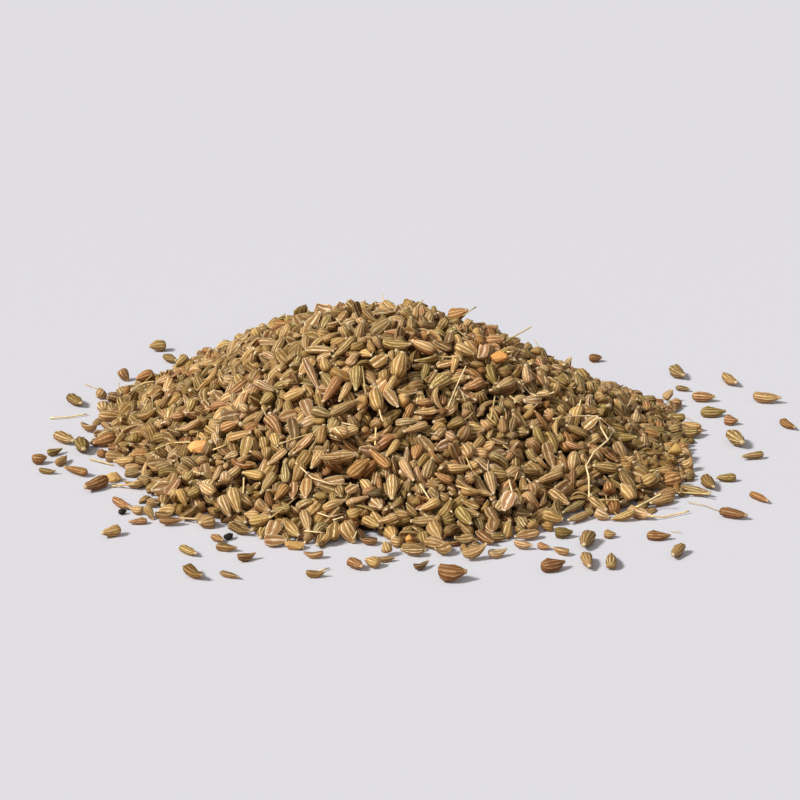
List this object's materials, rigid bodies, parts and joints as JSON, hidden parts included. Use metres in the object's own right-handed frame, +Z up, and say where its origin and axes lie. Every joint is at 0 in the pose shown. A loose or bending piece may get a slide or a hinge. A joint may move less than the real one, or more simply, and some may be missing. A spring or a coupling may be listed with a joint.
{
  "type": "heap of anise seed",
  "caption": "Loose heap of dried anise seed on a flat surface, low and broad, with a ragged foot and loose seeds lying round it.",
  "frame": {"origin": "on the surface that the heap lies on, under the middle of the heap", "axes": "+Z up, front towards -Y, +X to the right as seen from the front"},
  "size_m": [0.1397, 0.1371, 0.0278],
  "materials": {
    "seed_olive": "dry, ribbed",
    "seed_tan": "dry, ribbed",
    "seed_rust": "dry, ribbed",
    "seed_green": "dry, ribbed",
    "seed_dark": "dry, wrinkled",
    "stalk": "dry, fibrous"
  },
  "bodies": {
    "root": {"heap": "seed_olive", "seed_left_1": "seed_olive", "seed_left_2": "seed_olive", "seed_left_3": "seed_green", "seed_left_4": "seed_green", "seed_left_5": "seed_tan", "seed_left_6": "seed_rust", "seed_left_7": "seed_green", "seed_left_8": "seed_rust", "seed_left_9": "seed_rust", "seed_left_10": "seed_rust", "speck_left": "seed_dark", "seed_left_11": "seed_tan", "seed_left_12": "seed_rust", "seed_front_1": "seed_olive", "seed_front_2": "seed_tan", "seed_front_3": "seed_tan", "seed_front_4": "seed_rust", "seed_front_5": "seed_tan", "seed_front_6": "seed_rust", "speck_front": "seed_dark", "seed_front_7": "seed_tan", "seed_front_8": "seed_tan", "seed_front_9": "seed_rust", "seed_front_10": "seed_tan", "seed_front_11": "seed_tan", "seed_front_12": "seed_olive", "seed_front_13": "seed_rust", "seed_front_14": "seed_rust", "seed_front_15": "seed_tan", "seed_front_16": "seed_rust", "seed_front_17": "seed_green", "seed_right_1": "seed_olive", "seed_right_2": "seed_tan", "seed_right_3": "seed_green", "seed_right_4": "seed_tan", "seed_right_5": "seed_rust", "seed_right_6": "seed_tan", "seed_right_7": "seed_rust", "seed_right_8": "seed_rust", "seed_right_9": "seed_olive", "seed_right_10": "seed_olive", "seed_right_11": "seed_olive", "seed_right_12": "seed_rust", "seed_right_13": "seed_rust", "seed_right_14": "seed_green", "seed_right_15": "seed_tan", "seed_right_16": "seed_rust", "seed_right_17": "seed_olive", "seed_back_1": "seed_green", "seed_back_2": "seed_green", "seed_back_3": "seed_tan", "seed_back_4": "seed_rust", "seed_back_5": "seed_olive", "seed_back_6": "seed_olive"}
  },
  "joints": []
}
